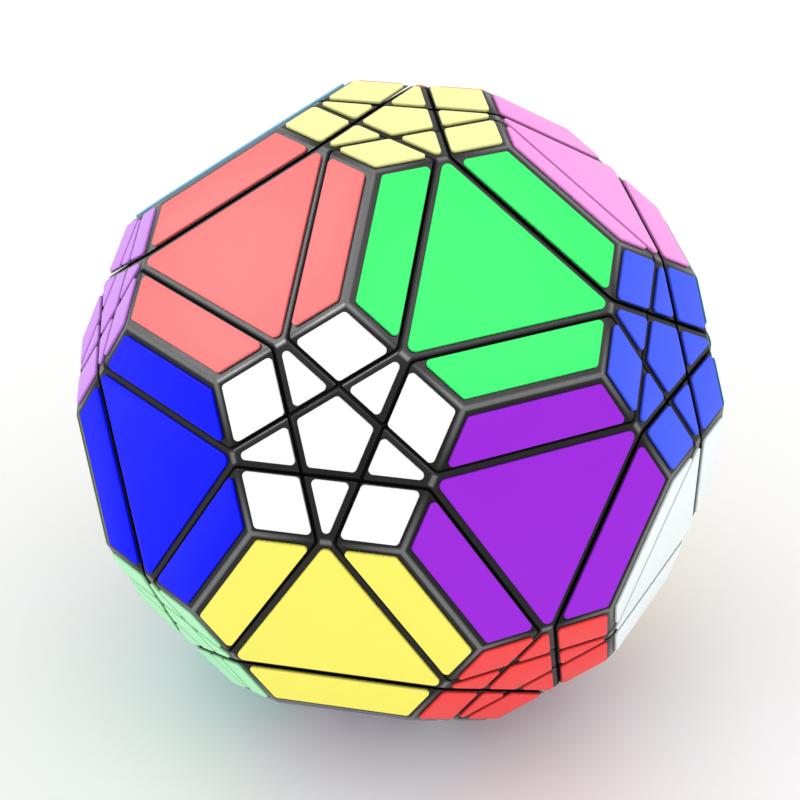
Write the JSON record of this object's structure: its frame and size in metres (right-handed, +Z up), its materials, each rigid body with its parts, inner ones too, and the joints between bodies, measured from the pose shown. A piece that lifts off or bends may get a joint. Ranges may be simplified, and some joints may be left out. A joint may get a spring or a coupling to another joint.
{
  "type": "twisty puzzle",
  "caption": "Ball-shaped twisty puzzle with pentagon and hexagon faces: each hexagon turns as a flat layer of raised coloured tiles on black pieces round a sprung core.",
  "frame": {"origin": "the middle of the ball, where every turning axis meets", "axes": "+Z up through the middle of the top pentagon; the part rests on the opposite pentagon; -Y faces the front, through the plane that halves the front pentagon"},
  "size_m": [0.0898, 0.0888, 0.087],
  "materials": {
    "black_plastic": "satin moulded plastic",
    "core_plastic": "plain moulded plastic",
    "steel_screws": "zinc plated",
    "steel_springs": "bare spring wire",
    "tiles_fixed": "smooth coloured tiles, many colours, white among them",
    "tile_gold_base": "smooth coloured tile",
    "tile_green": "smooth coloured tiles, with other colours on the pentagons",
    "tile_light_blue": "smooth coloured tiles, with other colours on the pentagons",
    "tile_teal": "smooth coloured tiles, with other colours on the pentagons",
    "tile_tan": "smooth coloured tiles, with other colours on the pentagons",
    "tile_yellow": "smooth coloured tiles, with other colours on the pentagons",
    "tile_olive": "smooth coloured tiles, with other colours on the pentagons",
    "tile_maroon": "smooth coloured tiles, with other colours on the pentagons",
    "tile_slate": "smooth coloured tiles, with other colours on the pentagons"
  },
  "bodies": {
    "core": {"core_upper_half": "core_plastic", "core_lower_half": "core_plastic", "screws": "steel_screws", "springs": "steel_springs", "pentagon_pieces": "black_plastic", "fixed_centre_1": "black_plastic", "fixed_centre_2": "black_plastic", "fixed_centre_3": "black_plastic", "fixed_centre_4": "black_plastic", "fixed_centre_5": "black_plastic", "fixed_centre_6": "black_plastic", "fixed_centre_7": "black_plastic", "fixed_centre_8": "black_plastic", "fixed_centre_9": "black_plastic", "fixed_centre_10": "black_plastic", "fixed_centre_11": "black_plastic", "fixed_centre_12": "black_plastic", "fixed_edges": "black_plastic", "fixed_tiles": "tiles_fixed", "base_tile": "tile_gold_base"},
    "layer_1": {"layer_1_centre": "black_plastic", "layer_1_edge_a": "black_plastic", "layer_1_edge_b": "black_plastic", "layer_1_edge_c": "black_plastic", "layer_1_tiles": "tile_green"},
    "layer_2": {"layer_2_centre": "black_plastic", "layer_2_edge_a": "black_plastic", "layer_2_edge_b": "black_plastic", "layer_2_edge_c": "black_plastic", "layer_2_tiles": "tile_light_blue"},
    "layer_3": {"layer_3_centre": "black_plastic", "layer_3_edge_a": "black_plastic", "layer_3_edge_b": "black_plastic", "layer_3_edge_c": "black_plastic", "layer_3_tiles": "tile_teal"},
    "layer_4": {"layer_4_centre": "black_plastic", "layer_4_edge_a": "black_plastic", "layer_4_edge_b": "black_plastic", "layer_4_edge_c": "black_plastic", "layer_4_tiles": "tile_tan"},
    "layer_5": {"layer_5_centre": "black_plastic", "layer_5_edge_a": "black_plastic", "layer_5_edge_b": "black_plastic", "layer_5_edge_c": "black_plastic", "layer_5_tiles": "tile_yellow"},
    "layer_6": {"layer_6_centre": "black_plastic", "layer_6_edge_a": "black_plastic", "layer_6_edge_b": "black_plastic", "layer_6_edge_c": "black_plastic", "layer_6_tiles": "tile_olive"},
    "layer_7": {"layer_7_centre": "black_plastic", "layer_7_edge_a": "black_plastic", "layer_7_edge_b": "black_plastic", "layer_7_edge_c": "black_plastic", "layer_7_tiles": "tile_maroon"},
    "layer_8": {"layer_8_centre": "black_plastic", "layer_8_edge_a": "black_plastic", "layer_8_edge_b": "black_plastic", "layer_8_edge_c": "black_plastic", "layer_8_tiles": "tile_slate"}
  },
  "joints": [
    {"name": "layer_1_turn", "type": "hinge", "parent": "core", "child": "layer_1", "pos_m": [0.00981, -0.01351, 0.02185], "axis": [0.3568, -0.4911, 0.7947], "continuous": true},
    {"name": "layer_2_turn", "type": "hinge", "parent": "core", "child": "layer_2", "pos_m": [-0.01588, 0.00516, 0.02185], "axis": [-0.5774, 0.1876, 0.7947], "continuous": true},
    {"name": "layer_3_turn", "type": "hinge", "parent": "core", "child": "layer_3", "pos_m": [0.02569, 0.00835, 0.00516], "axis": [0.9342, 0.3035, 0.1876], "continuous": true},
    {"name": "layer_4_turn", "type": "hinge", "parent": "core", "child": "layer_4", "pos_m": [0, 0.02701, 0.00516], "axis": [0, 0.9822, 0.1876], "continuous": true},
    {"name": "layer_5_turn", "type": "hinge", "parent": "core", "child": "layer_5", "pos_m": [0, -0.02701, -0.00516], "axis": [0, -0.9822, -0.1876], "continuous": true},
    {"name": "layer_6_turn", "type": "hinge", "parent": "core", "child": "layer_6", "pos_m": [-0.02569, -0.00835, -0.00516], "axis": [-0.9342, -0.3035, -0.1876], "continuous": true},
    {"name": "layer_7_turn", "type": "hinge", "parent": "core", "child": "layer_7", "pos_m": [0.01588, -0.00516, -0.02185], "axis": [0.5774, -0.1876, -0.7947], "continuous": true},
    {"name": "layer_8_turn", "type": "hinge", "parent": "core", "child": "layer_8", "pos_m": [-0.00981, 0.01351, -0.02185], "axis": [-0.3568, 0.4911, -0.7947], "continuous": true}
  ]
}
